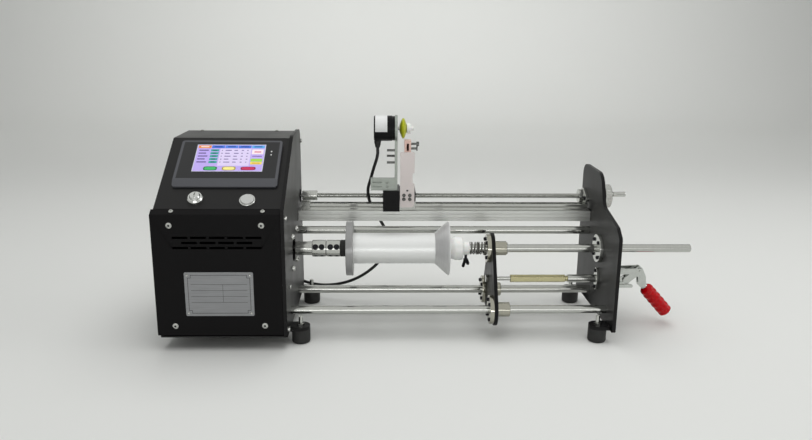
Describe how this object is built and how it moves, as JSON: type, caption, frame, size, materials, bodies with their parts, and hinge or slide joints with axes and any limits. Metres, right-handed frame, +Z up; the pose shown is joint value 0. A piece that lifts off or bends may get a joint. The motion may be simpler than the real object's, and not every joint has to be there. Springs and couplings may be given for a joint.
{
  "type": "fibre winding machine",
  "caption": "Bench winding machine with a sloped control cabinet, motor spindle and bobbin, sprung tailstock with a toggle clamp, and a lead-screw traverse with a metering wheel.",
  "frame": {"origin": "under the middle of the machine's bounding box, on the table", "axes": "+X along the spindle from the cabinet to the tailstock, +Y to the back, +Z up"},
  "size_m": [0.763, 0.2519, 0.3075],
  "materials": {
    "dark_plate": "fine satin powder coat",
    "cabinet_paint": "fine satin powder coat",
    "bezel_plastic": "fine matt",
    "screen_glass": "lit display",
    "chrome": "polished",
    "steel": "ground",
    "plate_aluminium": "satin anodised",
    "foot_rubber": "matt",
    "motor_paint": "satin",
    "control_case": "bare sheet",
    "black_metal": "black anodised",
    "black_plastic": "fine matt",
    "white_plastic": "smooth",
    "yellow_plastic": "smooth",
    "guide_plastic": "smooth",
    "brass": "bright",
    "grip_red": "soft vinyl"
  },
  "bodies": {
    "frame": {"head_plate": "dark_plate", "tail_plate": "dark_plate", "left_side_panel": "cabinet_paint", "front_panel": "cabinet_paint", "sloped_panel": "cabinet_paint", "top_rear_cover": "cabinet_paint", "base_pan": "cabinet_paint", "display_bezel": "bezel_plastic", "display_glass": "screen_glass", "switch_bodies": "chrome", "rating_plate": "plate_aluminium", "panel_screws": "steel", "rubber_feet": "foot_rubber", "frame_hardware": "steel", "guide_rods": "steel", "rail_beam": "plate_aluminium", "linear_rail": "steel", "spindle_motor": "motor_paint", "traverse_motor": "motor_paint", "control_unit": "control_case", "screw_bearing": "steel", "tail_bushes": "steel", "clamp_body": "chrome", "cable_gland": "black_plastic", "encoder_cable": "foot_rubber"},
    "spindle": {"spindle_shaft": "steel", "clamp_coupling": "plate_aluminium", "coupling_screws": "black_metal", "spacer_ring": "foot_rubber", "bobbin_disc": "plate_aluminium", "bobbin_barrel": "white_plastic", "bobbin_cone": "plate_aluminium"},
    "screw": {"lead_screw": "steel", "screw_coupling": "plate_aluminium", "handwheel": "plate_aluminium"},
    "carriage": {"rail_carriage": "steel", "carriage_block": "black_metal", "adjusting_plate": "plate_aluminium", "arm_plate": "plate_aluminium", "encoder_bracket": "plate_aluminium", "encoder_body": "black_plastic", "encoder_gland": "black_plastic", "carriage_screws": "steel", "guide_bracket": "guide_plastic"},
    "wheel": {"metering_wheel": "yellow_plastic", "wheel_hub": "white_plastic"},
    "tailstock": {"moving_plate": "black_metal", "plate_bearings": "steel", "pull_rods": "steel", "turnbuckle": "brass", "tail_spring": "chrome"},
    "centre": {"tail_shaft": "steel", "shaft_collar": "white_plastic"},
    "live_hub": {"tail_hub": "white_plastic"},
    "wing": {"wing_screw": "black_metal"},
    "handle": {"clamp_handle": "chrome", "handle_grip": "grip_red"},
    "link": {"toggle_link": "chrome"},
    "key": {"key_rotor": "chrome"},
    "button": {"push_button": "steel"}
  },
  "joints": [
    {"name": "spindle_spin", "type": "hinge", "parent": "frame", "child": "spindle", "pos_m": [-0.2055, -0.00992, 0.1195], "axis": [1, 0, 0], "continuous": true},
    {"name": "traverse", "type": "slide", "parent": "frame", "child": "carriage", "axis": [1, 0, 0], "range_m": [-0.095, 0.245], "deforming": ["encoder_cable"]},
    {"name": "screw_turn", "type": "hinge", "parent": "frame", "child": "screw", "pos_m": [-0.2055, 0.08808, 0.1775], "axis": [1, 0, 0], "range_deg": [-11030, 4280]},
    {"name": "wheel_spin", "type": "hinge", "parent": "carriage", "child": "wheel", "pos_m": [-0.0505, 0.05808, 0.2875], "axis": [1, 0, 0], "continuous": true},
    {"name": "tail_slide", "type": "slide", "parent": "frame", "child": "tailstock", "axis": [1, 0, 0], "range_m": [0, 0.0228]},
    {"name": "spring_slide", "type": "slide", "parent": "tailstock", "child": "centre", "axis": [1, 0, 0], "range_m": [0, 0.006], "stiffness_N_per_m": 800, "deforming": ["tail_spring"]},
    {"name": "hub_spin", "type": "hinge", "parent": "centre", "child": "live_hub", "pos_m": [0.0345, -0.00992, 0.1195], "axis": [1, 0, 0], "continuous": true},
    {"name": "wing_turn", "type": "hinge", "parent": "centre", "child": "wing", "pos_m": [0.04725, -0.00992, 0.1195], "axis": [0, 0, 1], "range_deg": [-90, 90]},
    {"name": "clamp_turn", "type": "hinge", "parent": "frame", "child": "handle", "pos_m": [0.3065, -0.00992, 0.0865], "axis": [0, -1, 0], "range_deg": [0, 56]},
    {"name": "link_turn", "type": "hinge", "parent": "handle", "child": "link", "pos_m": [0.28812, -0.00992, 0.07107], "axis": [0, -1, 0], "range_deg": [-81.35, 0.5]},
    {"name": "key_turn", "type": "hinge", "parent": "frame", "child": "key", "pos_m": [-0.3255, -0.08428, 0.20871], "axis": [0, -0.5446, 0.8387], "range_deg": [0, 90]},
    {"name": "button_press", "type": "slide", "parent": "frame", "child": "button", "axis": [0, 0.5446, -0.8387], "range_m": [0, 0.0015], "stiffness_N_per_m": 300}
  ],
  "couplings": [
    {"joint": "screw_turn", "follows": "traverse", "rad_per_m": -785.4},
    {"joint": "hub_spin", "follows": "spindle_spin", "ratio": 1},
    {"joint": "clamp_turn", "follows": "tail_slide", "rad_per_m": 42.868},
    {"joint": "link_turn", "follows": "tail_slide", "rad_per_m": -61.888}
  ]
}
